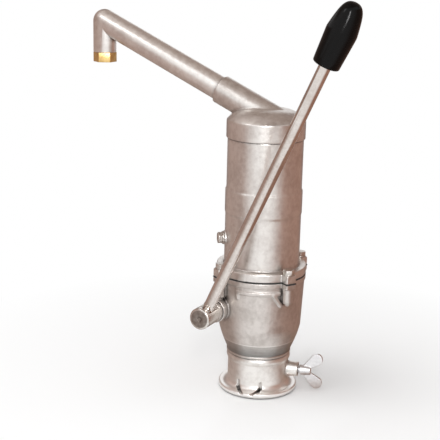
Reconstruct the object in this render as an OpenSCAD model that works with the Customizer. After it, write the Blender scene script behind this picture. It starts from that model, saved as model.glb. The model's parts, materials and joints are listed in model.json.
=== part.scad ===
// Lever-action drum pump on a 2 inch bung adapter, in millimetres.
// The origin is the centre of the adapter's seat on the drum top, +Z up.
// The spout points to -X, and the lever swings in a plane parallel to XZ.

/* [Bung adapter] */
// Outside diameter of the bung thread
thread_d = 59.6; // [58:0.2:61]
// Length of the thread below the drum top
thread_l = 18; // [12:1:24]
// Diameter of the flange that sits on the drum
flange_d = 80; // [78:1:90]
// Thickness of that flange
flange_t = 5; // [4:0.5:7]
// Outside diameter of the neck
neck_d = 62; // [61:0.5:65]
// Height of the adapter above the drum
adapter_h = 39; // [37:1:44]
// Height of the rounded bead round the adapter's rim
rim_bead_h = 8; // [6:1:9]
// How far that bead stands out of the neck
rim_bead_out = 1.6; // [1:0.2:3]
// Radius of the fillet between the flange and the neck
foot_fillet = 6; // [4:0.5:7]
// Width of the spanner notches in the flange
notch_w = 3; // [2:0.5:4]
// Depth of the notches in the flange
notch_depth = 1.6; // [1:0.1:2]
// Distance between the two notches of a pair at the flange's rim
notch_gap = 9.6; // [8:0.2:12]
// Angle by which the notches of a pair spread towards the neck
notch_lean = 33; // [25:1:36]
// Direction of the front pair, measured from +X
notch_angle = -81; // [-90:1:-70]
// Width of the gasket under the flange
bung_gasket_w = 6; // [4:0.5:7]
// Thickness of the gasket under the flange
bung_gasket_t = 2; // [1:0.5:2.5]
// Depth of the relief between the thread and the flange
thread_relief = 1; // [0.5:0.1:1.5]

/* [Wing screw] */
// Thread diameter of the wing screw
screw_d = 8; // [6:1:9]
// Height of the screw above the drum
screw_z = 21; // [20.5:0.5:22]
// Direction of the screw, turned from +X towards +Y
screw_angle = 15; // [0:1:30]
// Diameter of the boss that the screw goes through
screw_boss_d = 15; // [13:0.5:16]
// Distance from the pump axis to the end of the boss
screw_boss_reach = 42; // [40:1:46]
// Bare thread that shows between the boss and the wings
screw_gap = 2; // [1:0.5:4]
// Diameter of the hub between the wings
wing_hub_d = 11; // [10:0.5:13]
// Length of that hub
wing_hub_l = 11; // [9:0.5:14]
// Distance between the tips of the wings
wing_span = 37; // [34:1:38]
// Radius of the rounded wing tips
wing_tip_r = 6; // [5:0.5:7]
// Thickness of the wings
wing_t = 3.5; // [2.5:0.5:5]
// Length of the pad at the tip of the screw
pad_l = 3; // [2:0.5:4]
// Depth of the groove that the pad sits in
pad_groove = 1; // [0.5:0.25:1.5]

/* [Lower casing] */
// Height from the adapter's rim to the parting plane
casing_h = 83.8; // [81:0.2:95]
// Diameter of the casing below its flange
casing_d = 88; // [86:0.5:92]
// Diameter at the shoulder where the bowl begins
shoulder_d = 83.4; // [82:0.2:86]
// Diameter of the foot that stands on the adapter
foot_d = 64; // [62:0.5:66]
// Height of the bowl between foot and shoulder
bowl_h = 28.3; // [26:0.1:34]
// Height of the bead round the foot
foot_bead_h = 2.7; // [2:0.1:4]
// How far that bead stands out
foot_bead_out = 0.8; // [0.6:0.1:1.2]
// Height of the line turned into the bowl, above its foot
bowl_line_z = 13; // [11:0.5:16]
// Width of that line
bowl_line_w = 1; // [0.6:0.1:1.5]
// Depth of that line
bowl_line_depth = 0.5; // [0.3:0.1:0.7]
// Wall of the casing
casing_wall = 3.8; // [3:0.1:4.2]
// Thickness of the floor that holds the suction valve
floor_t = 8; // [6:0.5:10]
// Height of that floor above the adapter's rim
floor_rise = 2; // [1:0.5:4]
// Diameter of the spigot that turns in the adapter
spigot_d = 52; // [50:0.5:54]
// Length of that spigot
spigot_l = 31; // [28:0.5:34]

/* [Flange joint] */
// Diameter of the flanges
joint_d = 90; // [89:0.5:94]
// Thickness of the casing's flange
casing_flange_t = 5; // [4:0.5:7]
// Depth of the rib below the parting plane
rib_depth = 11; // [9:0.5:13]
// Height of that rib
rib_h = 3.4; // [2:0.2:4]
// Where the rib begins, measured from +X
rib_from = -98; // [-104:1:-94]
// Angle that the rib goes round, to the first bolt's boss
rib_sweep = 60; // [56:1:66]
// Length of the rib's end that turns down
rib_tail = 9; // [6:0.5:11]
// Thickness of the cylinder's flange
cylinder_flange_t = 8.2; // [7:0.2:12]
// Thickness of the gasket between them
joint_gasket_t = 1; // [0.5:0.1:1.5]
// Diameter of the circle of bolts
bolt_ring_d = 96; // [95:0.5:100]
// Direction of the first bolt, measured from +X
bolt_angle = -31; // [-34:1:-28]
// Thread diameter of the bolts
bolt_d = 6; // [5:0.5:6]
// Size of the bolt heads across their flats
bolt_af = 10; // [8:0.5:10.5]
// Height of the bolt heads
bolt_head_h = 4; // [3:0.5:5]
// Clearance round the bolts in the upper flange
bolt_room = 0.3; // [0.2:0.05:0.5]
// Thickness of the washers under them
bolt_washer_t = 1.2; // [0.8:0.1:1.6]
// Width of the lugs round the bolts
lug_w = 11; // [11:0.5:13]
// Diameter of the bosses that the bolts screw into
bolt_boss_d = 10; // [9:0.5:12]
// Depth of those bosses below the parting plane
boss_depth = 19; // [17:0.5:22]

/* [Cylinder] */
// Height from the flange joint to the cap's lower edge
cylinder_h = 135.6; // [130:0.2:160]
// Bore of the cylinder
bore_d = 67; // [66:0.5:68]
// Outside diameter of the lower tube
tube_low_d = 75.6; // [75:0.2:78]
// Outside diameter of the upper tube
tube_top_d = 74.8; // [74.4:0.1:77]
// Outside diameter of the raised band
band_d = 76.8; // [76.2:0.2:80]
// Height of the band's lower edge above the joint
band_low = 60.9; // [55:0.1:70]
// Width of the band
band_w = 23.5; // [18:0.5:30]
// Outside diameter of the threaded end under the cap
cap_thread_d = 71.2; // [70.5:0.1:72]
// Length of that threaded end
cap_thread_l = 11.6; // [9:0.2:14]

/* [Vent plug] */
// Height of the plug above the joint
plug_z = 35; // [30:1:45]
// Direction of the plug, measured from +X
plug_angle = -142; // [-150:1:-130]
// Thread diameter of the plug
plug_d = 6; // [5:0.5:8]
// Diameter of the plug's boss on the cylinder
plug_boss_d = 14; // [13:0.5:16]
// Height of that boss
plug_boss_h = 2; // [1:0.5:3]
// Size of the hexagon across its flats
plug_af = 10; // [9:0.5:12]
// Height of the hexagon
plug_head_h = 4.5; // [3:0.5:6]
// Diameter of the washer under it
plug_washer_d = 13; // [12:0.5:15]
// Thickness of that washer
plug_washer_t = 1.2; // [0.8:0.2:2]

/* [Cap] */
// Outside diameter of the cap
cap_d = 77.6; // [76.6:0.2:80]
// Height of the cap's side
cap_skirt_h = 17.2; // [15:0.2:20]
// Height of the lid above the side
dome_h = 12; // [9:0.2:13]
// Wall of the lid
dome_wall = 4; // [3:0.2:5]
// Thickness of the seal inside the cap
cap_gasket_t = 1.5; // [1:0.1:2.5]
// Height of the spout axis above the side, on the pump axis
spout_root = 3.8; // [2:0.2:5]
// Length of the spout socket from the pump axis
socket_l = 55.4; // [50:0.2:62]
// Outside diameter of the socket
socket_d = 28.8; // [28:0.2:32]

/* [Spout] */
// Angle of the spout above the horizontal
spout_angle = 23.5; // [18:0.5:28]
// Outside diameter of the spout pipe
spout_d = 24; // [22:0.5:25]
// Wall of the spout pipe
spout_wall = 1.8; // [1.5:0.1:2.2]
// Length from the pump axis to the elbow
spout_l = 205; // [180:1:230]
// Length of pipe inside the socket
spout_insert = 28; // [20:1:32]
// Length of pipe below the elbow
outlet_l = 31.8; // [28:0.2:45]
// Height of the nozzle's hexagon
nozzle_h = 10; // [8:0.5:12]
// Size of the nozzle's hexagon across its flats
nozzle_af = 21; // [20.8:0.2:23]
// Turn of the hexagon from the spout's plane
nozzle_turn = 30; // [0:5:30]
// Bore of the nozzle
nozzle_bore_d = 16; // [14:0.5:17]
// Length of the nozzle inside the pipe
nozzle_insert = 9; // [6:0.5:12]

/* [Lever and shaft] */
// Distance of the shaft from the pump axis
shaft_offset = 28; // [27.5:0.1:28.4]
// Depth of the shaft below the parting plane
shaft_drop = 33.3; // [32:0.1:34]
// Diameter of the shaft
shaft_d = 12; // [11:0.5:13]
// Wall of the bronze bushes
bush_wall = 2; // [1.5:0.25:2.5]
// Diameter of the shaft's boss on the front of the casing
front_boss_d = 25; // [24:0.5:27]
// Distance from the pump axis to the end of the front boss
front_boss_reach = 48.5; // [47:0.5:54]
// Diameter of the closed boss at the back
rear_boss_d = 23; // [22:0.5:25]
// Distance from the pump axis to the end of the rear boss
rear_boss_reach = 41; // [40:0.5:46]
// Wall that closes the rear boss
rear_boss_wall = 4; // [3:0.5:6]
// How far the gland packing is wider than the bushes
packing_step = 1; // [0.5:0.25:1.5]
// Length of the gland packing
packing_l = 6; // [4:0.5:8]
// Width of the gland nut
gland_nut_w = 5.5; // [5:0.5:8]
// Diameter of the gland nut
gland_nut_d = 22; // [21:0.5:24]
// Length of the gland nut's thread
gland_thread_l = 4; // [3:0.5:5]
// Diameter of the shaft's head
head_d = 21.5; // [19:0.5:23]
// Length of the shaft's head
head_l = 23.5; // [18:0.5:26]
// Tilt of the lever from the vertical towards +X, at mid stroke
lever_tilt = 24.3; // [18:0.1:30]
// Diameter of the lever rod
rod_d = 11.5; // [10:0.5:12]
// Length from the shaft to the grip
rod_l = 276; // [240:1:300]
// Diameter of the pin through the shaft's head and the rod
rod_pin_d = 4; // [3:0.5:5]
// Length of the grip
grip_l = 59.5; // [57:0.5:75]
// Length of rod inside the grip
grip_insert = 41; // [35:1:45]
// Distance of the grip's widest ring from its base
grip_ridge = 32; // [28:0.5:38]
// Diameter of the grip at its base
grip_base_d = 26; // [23:0.5:27]
// Largest diameter of the grip
grip_d = 29.1; // [28:0.1:33]
// Diameter of the grip near its tip
grip_tip_d = 20.5; // [18:0.5:24]

/* [Rocker drive] */
// Length of the rocker arm
arm_l = 34; // [33:0.5:35]
// Diameter of the rocker arm's hub
arm_hub_d = 18; // [17:0.5:18.5]
// Length of the hub along the shaft
arm_hub_l = 23; // [22.8:0.1:24]
// Thickness of the arm's two cheeks
cheek_t = 4; // [3:0.25:4.5]
// Radius of the cheeks round the roller pin
cheek_tip_r = 8; // [7:0.5:9]
// Diameter of the pin through hub and shaft
arm_pin_d = 4; // [3:0.5:5]
// Diameter of the roller
roller_d = 12; // [11:0.5:12.5]
// Diameter of the roller pin
roller_pin_d = 6; // [5:0.5:7]
// Thickness of the roller pin's head
pin_head_t = 1.8; // [1.5:0.1:2]
// How far the head stands out all round the pin
pin_head_w = 1.5; // [1:0.25:2]
// Thickness of the clip at the pin's other end
roller_clip_t = 1.2; // [1:0.1:1.5]
// Width of a clip round its pin or stem
clip_w = 2; // [1.5:0.25:2.5]
// Room for the roller above and below it in the yoke's slot
slot_room = 0.9; // [0.8:0.05:1.2]
// Width of the yoke along the shaft
yoke_w = 13.6; // [12:0.2:14.4]
// Gap between the yoke and each cheek
cheek_gap = 0.5; // [0.3:0.1:0.6]
// Wall of the yoke round the slot
yoke_wall = 3.8; // [3:0.1:4.2]
// Height of metal above and below the slot
yoke_bridge = 5.5; // [5:0.5:6]
// Angle that the lever swings to each side of mid stroke
swing = 45; // [35:1:45]

/* [Piston] */
// Height of the piston's underside above the joint, at mid stroke
piston_z = 34; // [32:1:48]
// Diameter of the piston rod
piston_rod_d = 12; // [11:0.5:13]
// Diameter of the rod's threaded end
rod_end_d = 10; // [8:0.5:10]
// Diameter of the collar under the piston
collar_d = 18; // [16:0.5:20]
// Thickness of that collar
collar_t = 4; // [3:0.5:6]
// Gap between the piston and the bore
piston_gap = 0.3; // [0.25:0.05:0.5]
// Thickness of the piston
piston_t = 8; // [7:0.5:10]
// Diameter of the raised valve seat
seat_d = 44; // [42:0.5:46]
// Thickness of the cup seal
cup_t = 2; // [1.5:0.25:3]
// Height of the cup seal's lip
cup_lip_h = 8; // [6:0.5:10]
// Thickness of the plate that clamps the cup
cup_plate_t = 3; // [2:0.25:4]
// Diameter of the plate's screws
cup_screw_d = 4; // [3:0.5:4]
// Diameter of the screws' heads
cup_screw_head_d = 7; // [6:0.25:7.5]
// Height of the screws' heads
cup_screw_head_h = 2.4; // [2:0.1:3]
// Number of ports through the piston
port_count = 6; // [4:1:8]
// Diameter of each port
port_d = 7; // [6:0.5:7.5]
// Distance of the ports from the rod
port_ring_r = 14.5; // [13.5:0.25:15]
// Diameter of the piston valve disc
valve_d = 40; // [39:0.5:41]
// Thickness of the valve disc
valve_t = 3; // [2:0.25:4]
// How far the piston valve lifts
valve_lift = 4; // [3:0.5:5]
// Wall of the sleeve that the valve slides on
sleeve_wall = 2; // [1.5:0.25:2.5]
// Diameter of the stop washer over the valve
stop_d = 22; // [18:0.5:26]
// Thickness of that stop washer
stop_t = 2; // [1.5:0.25:3]
// Size of the piston nut across its flats
piston_nut_af = 17; // [16:0.5:19]
// Height of the piston nut
piston_nut_h = 7; // [6:0.5:9]
// Length of thread above the nut
rod_end_out = 3; // [2:0.5:5]

/* [Suction valve] */
// Bore of the valve seat
inlet_d = 22; // [20:0.5:24]
// Diameter of the seat's part in the floor
seat_shank_d = 31; // [29:0.5:32]
// Diameter of the seat's flange
seat_flange_d = 38; // [36:0.5:40]
// Thickness of that flange
seat_flange_t = 3; // [2:0.25:4]
// Diameter of the suction valve disc
suction_disc_d = 30; // [28:0.5:32]
// Thickness of the suction valve disc
suction_disc_t = 3; // [2:0.25:3.5]
// How far the suction valve lifts
suction_lift = 4; // [3:0.25:4.5]
// Diameter of the valve's stem
stem_d = 6; // [5:0.5:7]
// Height of the seat's guide bars
spider_h = 5; // [4:0.5:6]
// Width of the seat's guide bars
spider_w = 2.5; // [2:0.25:3.5]
// Wall of the guide round the stem
guide_wall = 2; // [1.5:0.25:2.5]
// Thickness of the clip on the stem
clip_t = 2; // [1.5:0.25:2.5]

/* [Suction tube] */
// Outside diameter of the fixed tube
tube_d = 40; // [38:0.5:41]
// Wall of each tube
tube_wall = 1.5; // [1.2:0.1:1.8]
// Gap between one tube and the next
tube_gap = 0.5; // [0.4:0.05:0.6]
// Length of the fixed tube below the drum top
tube_drop = 290; // [240:1:320]
// Depth of the middle tube's top below the spigot, pushed in
tube_rest = 20; // [18:1:30]
// Step from one sliding tube's top down to the next
tube_step = 4; // [2:0.5:8]
// Length of the guide collar at the end of a tube
collar_l = 18; // [16:0.5:24]
// Wall of the guide collars
collar_wall = 2; // [1.5:0.25:2.5]
// Space between collars when the tubes are pushed in
collar_space = 2; // [1:0.5:4]
// Height of the bead at the top of a sliding tube
bead_h = 8; // [6:1:12]
// Height of the friction ring in a collar
grip_ring_h = 4; // [3:0.5:5]
// How far each tube pulls out
tube_travel = 250; // [180:1:255]
// Height of the strainer
strainer_h = 24; // [20:1:30]
// Thickness of the strainer's bottom
strainer_base = 2; // [1.5:0.25:3]
// Width of the strainer's slots
strainer_slot_w = 3; // [2:0.5:4]
// Number of slots round the strainer
strainer_slots = 8; // [6:1:10]

/* [Fits] */
// Radial clearance of a running fit
run_fit = 0.05; // [0.03:0.01:0.08]
// Radial clearance of a fixed fit
seat_fit = 0.05; // [0.03:0.01:0.08]
// Clearance between flat faces that slide past each other
face_gap = 0.3; // [0.2:0.05:0.4]

/* [Hidden] */
$fn = 96;

// Colours of the finishes
cast_grey = "#a9a49e";
steel = "#c8c8c8";
brass = "#c9a13b";
bronze = "#a9793f";
rubber = "#2b2b2b";
black = "#171717";

// Small edge breaks that repeat over the castings
edge = 1;
cut = 1;
// Power that makes the lid steep at its rim and flat in its middle
lid_power = 4;

// Levels along the pump axis
parting_z = adapter_h + casing_h;
joint_z = parting_z + joint_gasket_t;
cap_z = joint_z + cylinder_h;
lid_z = cap_z + cap_skirt_h;
floor_z = adapter_h + floor_rise;
bowl_z = adapter_h + foot_bead_h;
tube_seat_z = floor_z - floor_t;
spigot_z = adapter_h - spigot_l;

// Flange bolts: where the washers sit, and the pointed ends of the bosses
bolt_seat_z = joint_z + cylinder_flange_t;
boss_taper = 4;
bolt_hole_z = parting_z - boss_depth + boss_taper / 2;
bolt_tip_z = parting_z - boss_depth + boss_taper;

// Radii of the bung adapter
thread_r = thread_d / 2;
adapter_bore_r = spigot_d / 2 + run_fit;
gasket_out_r = thread_r + seat_fit + bung_gasket_w;

// Wing screw, measured outwards from the pump axis
pad_face_r = spigot_d / 2 - pad_groove + 2 * run_fit;
screw_tip_r = pad_face_r + pad_l + run_fit;
wing_hub_r0 = screw_boss_reach + screw_gap;
wing_tip_z = wing_span / 2 - wing_tip_r;

// Lower end of the spout
outlet_x = -spout_l * cos(spout_angle);
outlet_z = lid_z + spout_root + spout_l * sin(spout_angle) - outlet_l;

// Shaft and lever
shaft_x = -shaft_offset;
shaft_z = parting_z - shaft_drop;
shaft_r = shaft_d / 2;
bush_r = shaft_r + run_fit + bush_wall;
packing_r = bush_r + packing_step;
arm_half = arm_hub_l / 2;
boss_face = arm_half + face_gap;
packing_y = front_boss_reach - gland_thread_l - packing_l;
rear_bore_end = rear_boss_reach - rear_boss_wall;
head_y = front_boss_reach + gland_nut_w + face_gap;
rod_y = -(head_y + head_l / 2);
rod_foot = -head_d / 4;

// Rocker and yoke
roller_x = shaft_x + arm_l;
roller_r = roller_d / 2;
cheek_y = yoke_w / 2 + cheek_gap;
cheek_out = cheek_y + cheek_t;
slot_half = roller_r + slot_room;
slot_x0 = shaft_x + arm_l * cos(swing) - slot_half;
slot_x1 = roller_x + slot_half + slot_room / 4;
yoke_half_h = slot_half + yoke_bridge;

// Piston stack
piston_low = joint_z + piston_z;
cup_z = piston_low + piston_t;
seat_z = cup_z + cup_t + cup_plate_t;
piston_r = bore_d / 2 - piston_gap;
cup_r = bore_d / 2 - run_fit;
cup_in_r = seat_d / 2 + seat_fit;
cup_screw_ring = (cup_in_r + cup_r - cup_t) / 2;
sleeve_r = rod_end_d / 2 + seat_fit + sleeve_wall;
stop_z = seat_z + valve_t + valve_lift + face_gap;
nut_z = stop_z + stop_t;

// Suction valve
disc_z = floor_z + seat_flange_t;
spider_z = tube_seat_z + edge;
clip_z = spider_z - suction_lift - clip_t - face_gap;

// Suction tubes, from the fixed one to the innermost
tube_r = [for (i = [0:2]) tube_d / 2 - i * (tube_wall + tube_gap)];
collar_z = [for (i = [0:1]) -tube_drop - i * (collar_l + collar_space)];
tube_low = [collar_z[0], collar_z[1], collar_z[1] - collar_l / 2 - collar_space - strainer_h / 2];
tube_top = [tube_seat_z - seat_fit, spigot_z - tube_rest, spigot_z - tube_rest - tube_step];
collar_lip = (collar_l - grip_ring_h) / 4;

// An arc of points about a centre
function arc(centre, r, a0, a1, n = 10) =
    [for (i = [0:n]) centre + r * [cos(a0 + (a1 - a0) * i / n), sin(a0 + (a1 - a0) * i / n)]];

// Radius of the bowl at a share t of its height
function bowl_r(t) = foot_d / 2 + (shoulder_d - foot_d) / 2 * (t + sin(90 * t)) / 2;

// A tube with a round bore
module ring(r_out, r_in, h) {
    difference() {
        cylinder(r = r_out, h = h);
        translate([0, 0, -cut]) cylinder(r = r_in, h = h + 2 * cut);
    }
}

// A hexagonal bar by its size across the flats
module hexagon(af, h) {
    cylinder(r = af / 2 / cos(30), h = h, $fn = 6);
}

// A round bar along Y
module y_bar(r, y0, y1) {
    translate([0, y0, 0]) rotate([-90, 0, 0]) cylinder(r = r, h = y1 - y0);
}

// A flat shape in the XZ plane, given a thickness along Y
module y_plate(y0, y1) {
    translate([0, y1, 0]) rotate([90, 0, 0]) linear_extrude(y1 - y0) children();
}

// Two circles joined by their outer tangents
module tapered_bar(p, rp, q, rq) {
    a = atan2(q[1] - p[1], q[0] - p[0]);
    b = acos((rp - rq) / norm(q - p));
    left = [cos(a + b), sin(a + b)];
    right = [cos(a - b), sin(a - b)];
    translate(p) circle(rp);
    translate(q) circle(rq);
    polygon([p + rp * left, p + rp * right, q + rq * right, q + rq * left]);
}

// A rectangle with round corners between two corner points
module round_rect(p, q, r) {
    translate(p + [r, 0]) square([q[0] - p[0] - 2 * r, q[1] - p[1]]);
    translate(p + [0, r]) square([q[0] - p[0], q[1] - p[1] - 2 * r]);
    for (x = [p[0] + r, q[0] - r], y = [p[1] + r, q[1] - r])
        translate([x, y]) circle(r);
}

module on_shaft() {
    translate([shaft_x, 0, shaft_z]) children();
}

// Outwards along the wing screw
module on_screw() {
    translate([0, 0, screw_z]) rotate([0, 0, screw_angle]) rotate([0, 90, 0]) children();
}

// Along the lever rod, from the shaft to the grip
module on_rod() {
    translate([shaft_x, rod_y, shaft_z]) rotate([0, lever_tilt, 0]) children();
}

// Along the spout, from the pump axis to the elbow
module on_spout() {
    translate([0, 0, lid_z + spout_root]) rotate([0, spout_angle - 90, 0]) children();
}

module at_bolts() {
    for (i = [0:3])
        rotate([0, 0, bolt_angle + 90 * i]) translate([bolt_ring_d / 2, 0, 0]) children();
}

// Bung adapter: cast flange and neck with a male thread and a screw boss
module bung_adapter() {
    flange_r = flange_d / 2;
    neck_r = neck_d / 2;
    bead_z = adapter_h - rim_bead_h / 2;
    boss_root = neck_r - 2 * edge;
    notch_l = (flange_r - neck_r + notch_w) / cos(notch_lean);
    profile = concat(
        [[adapter_bore_r, -thread_l], [thread_r - edge, -thread_l], [thread_r, edge - thread_l],
            [thread_r, 0], [thread_r - thread_relief, 0], [thread_r - thread_relief, bung_gasket_t],
            [gasket_out_r, bung_gasket_t], [gasket_out_r, 0],
            [flange_r - edge / 2, 0], [flange_r, edge / 2]],
        arc([flange_r - edge, flange_t - edge], edge, 0, 90, 4),
        arc([neck_r + foot_fillet, flange_t + foot_fillet], foot_fillet, 270, 180),
        [for (i = [0:12]) [neck_r + rim_bead_out * sin(i * 15), bead_z + rim_bead_h / 2 * (i / 6 - 1)]],
        [[adapter_bore_r, adapter_h]]);
    color(cast_grey) difference() {
        union() {
            rotate_extrude() polygon(profile);
            on_screw() translate([0, 0, boss_root])
                cylinder(d1 = screw_boss_d + edge, d2 = screw_boss_d, h = screw_boss_reach - boss_root);
        }
        translate([0, 0, -thread_l - cut]) cylinder(r = adapter_bore_r, h = adapter_h + thread_l + 2 * cut);
        on_screw() cylinder(d = screw_d + 2 * run_fit, h = screw_boss_reach + cut);
        // spanner notches, a pair at the front and a pair at the back
        for (pair = [notch_angle, notch_angle + 180], side = [-1, 1])
            rotate([0, 0, pair]) translate([flange_r, side * notch_gap / 2, flange_t - notch_depth])
                rotate([0, 0, 180 - side * notch_lean]) translate([-notch_w, -notch_w / 2, 0])
                    cube([notch_w + notch_l, notch_w, flange_t + foot_fillet]);
    }
}

module bung_gasket() {
    color(rubber) ring(gasket_out_r - seat_fit, thread_r + seat_fit, bung_gasket_t);
}

// Brass pad at the tip of the wing screw, in the spigot's groove
module clamp_pad() {
    color(brass) on_screw() translate([0, 0, pad_face_r]) cylinder(d = screw_d, h = pad_l);
}

module wing_screw() {
    wing_root = [wing_hub_r0 + wing_hub_l / 2, wing_hub_d / 4];
    wing_end = [wing_hub_r0 + wing_hub_l + wing_tip_r, wing_tip_z];
    color(steel) {
        on_screw() {
            translate([0, 0, screw_tip_r]) cylinder(d = screw_d, h = wing_root[0] - screw_tip_r);
            translate([0, 0, wing_hub_r0])
                cylinder(d1 = wing_hub_d, d2 = wing_hub_d - 2 * edge, h = wing_hub_l);
        }
        translate([0, 0, screw_z]) rotate([0, 0, screw_angle]) y_plate(-wing_t / 2, wing_t / 2)
            for (side = [-1, 1])
                tapered_bar([wing_root[0], side * wing_root[1]], wing_hub_d / 4,
                    [wing_end[0], side * wing_end[1]], wing_tip_r);
    }
}

// Outline of both flanges with their four lugs
module joint_outline() {
    circle(d = joint_d);
    at_bolts() translate([-lug_w, -lug_w / 2]) square([lug_w + lug_w / 2, lug_w]);
}

module bolt_holes(d, z0, z1) {
    at_bolts() translate([0, 0, z0]) cylinder(d = d, h = z1 - z0);
}

// Lower casing: cast bowl with the spigot, the shaft bosses and the flange
module lower_casing() {
    steps = [for (i = [0:10]) i / 10];
    bead_r = foot_d / 2 + foot_bead_out;
    bead_z = adapter_h + face_gap / 3;
    rib_in = (casing_d - casing_wall) / 2;
    rib_z = parting_z - rib_depth - rib_h / 2;
    outside = concat(
        [[0, spigot_z], [spigot_d / 2 - edge, spigot_z], [spigot_d / 2, spigot_z + edge],
            [spigot_d / 2, bead_z], [bead_r - edge / 2, bead_z], [bead_r, bead_z + edge / 2],
            [bead_r, bowl_z - edge / 2], [bead_r - edge / 2, bowl_z]],
        [for (t = steps) [bowl_r(t), bowl_z + bowl_h * t]],
        [[casing_d / 2, parting_z - casing_flange_t], [casing_d / 2, parting_z], [0, parting_z]]);
    inside = concat(
        [[0, floor_z], [bowl_r(steps[1]) - casing_wall - 2 * edge, floor_z]],
        [for (t = steps) if (t > steps[2]) [bowl_r(t) - casing_wall, bowl_z + bowl_h * t]],
        [[casing_d / 2 - casing_wall, parting_z - casing_flange_t],
            [bore_d / 2, parting_z - casing_flange_t / 2], [bore_d / 2, parting_z + cut],
            [0, parting_z + cut]]);
    color(cast_grey) difference() {
        union() {
            difference() {
                union() {
                    rotate_extrude() polygon(outside);
                    translate([0, 0, parting_z - casing_flange_t])
                        linear_extrude(casing_flange_t) joint_outline();
                    rotate([0, 0, rib_from]) {
                        translate([0, 0, rib_z]) rotate_extrude(angle = rib_sweep)
                            translate([rib_in, 0]) square([joint_d / 2 - rib_in, rib_h]);
                        translate([rib_in, 0, rib_z + rib_h - rib_tail])
                            cube([joint_d / 2 - rib_in - edge / 4, rib_h, rib_tail - edge / 4]);
                    }
                    at_bolts() translate([0, 0, parting_z - boss_depth]) {
                        cylinder(d = bolt_boss_d, h = boss_depth);
                        translate([0, 0, -boss_taper])
                            cylinder(d1 = bolt_boss_d / 3, d2 = bolt_boss_d, h = boss_taper);
                    }
                    on_shaft() y_bar(rear_boss_d / 2, 0, rear_boss_reach);
                    on_shaft() y_bar(front_boss_d / 2, -front_boss_reach, 0);
                }
                rotate_extrude() polygon(inside);
            }
            // inner ends of the shaft bosses, inside the bowl
            intersection() {
                on_shaft() {
                    y_bar(rear_boss_d / 2, boss_face, rear_boss_reach);
                    y_bar(front_boss_d / 2, -front_boss_reach, -boss_face);
                }
                translate([0, 0, floor_z]) cylinder(d = casing_d - casing_wall, h = parting_z - floor_z);
            }
        }
        on_shaft() {
            y_bar(bush_r + seat_fit, -front_boss_reach, rear_bore_end);
            y_bar(packing_r + seat_fit, -front_boss_reach - cut, -packing_y);
        }
        bolt_holes(bolt_d + 2 * seat_fit, bolt_hole_z, parting_z + cut);
        translate([0, 0, bowl_z + bowl_line_z])
            ring(casing_d, bowl_r(bowl_line_z / bowl_h) - bowl_line_depth, bowl_line_w);
        // groove for the clamp pad, seat of the suction tube and hole for the valve seat
        translate([0, 0, screw_z - (screw_d + edge) / 2])
            ring(spigot_d, spigot_d / 2 - pad_groove, screw_d + edge);
        translate([0, 0, spigot_z - cut])
            cylinder(d = tube_d + 2 * seat_fit, h = tube_seat_z - spigot_z + cut);
        cylinder(d = seat_shank_d + 2 * seat_fit, h = floor_z + cut);
    }
}

module joint_gasket() {
    color(rubber) translate([0, 0, parting_z]) difference() {
        linear_extrude(joint_gasket_t) joint_outline();
        translate([0, 0, -cut]) cylinder(d = bore_d, h = joint_gasket_t + 2 * cut);
        bolt_holes(bolt_d + 2 * bolt_room, -cut, joint_gasket_t + cut);
    }
}

// Cylinder: cast tube with its flange, a raised band and a threaded top
module cylinder_node() {
    top = cylinder_h + cap_thread_l;
    outside = [[0, 0], [tube_low_d / 2, 0], [tube_low_d / 2, band_low], [band_d / 2, band_low + edge / 2],
        [band_d / 2, band_low + band_w], [tube_top_d / 2, band_low + band_w + edge / 2],
        [tube_top_d / 2, cylinder_h], [cap_thread_d / 2, cylinder_h], [cap_thread_d / 2, top - edge],
        [cap_thread_d / 2 - edge, top], [0, top]];
    color(cast_grey) translate([0, 0, joint_z]) difference() {
        union() {
            rotate_extrude() polygon(outside);
            linear_extrude(cylinder_flange_t) joint_outline();
            translate([0, 0, plug_z]) rotate([0, 0, plug_angle]) rotate([0, 90, 0])
                cylinder(d = plug_boss_d, h = tube_low_d / 2 + plug_boss_h);
        }
        translate([0, 0, -cut]) cylinder(d = bore_d, h = top + 2 * cut);
        bolt_holes(bolt_d + 2 * bolt_room, -cut, cylinder_flange_t + cut);
        translate([0, 0, plug_z]) rotate([0, 0, plug_angle]) rotate([0, 90, 0])
            cylinder(d = plug_d + 2 * seat_fit, h = tube_low_d);
    }
}

module flange_washers() {
    color(steel) at_bolts() translate([0, 0, bolt_seat_z])
        ring(lug_w / 2 - seat_fit, bolt_d / 2 + bolt_room, bolt_washer_t);
}

module flange_bolts() {
    color(steel) at_bolts() {
        translate([0, 0, bolt_seat_z + bolt_washer_t]) hexagon(bolt_af, bolt_head_h);
        translate([0, 0, bolt_tip_z])
            cylinder(d = bolt_d, h = bolt_seat_z + bolt_washer_t + cut - bolt_tip_z);
    }
}

// A flat-topped lid that falls steeply to its rim, from its rim to its middle
function lid(r, h) =
    [for (i = [0:16]) let (t = cos(90 * i / 16)) [r * t, lid_z + h * (1 - pow(t, lid_power))]];

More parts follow.
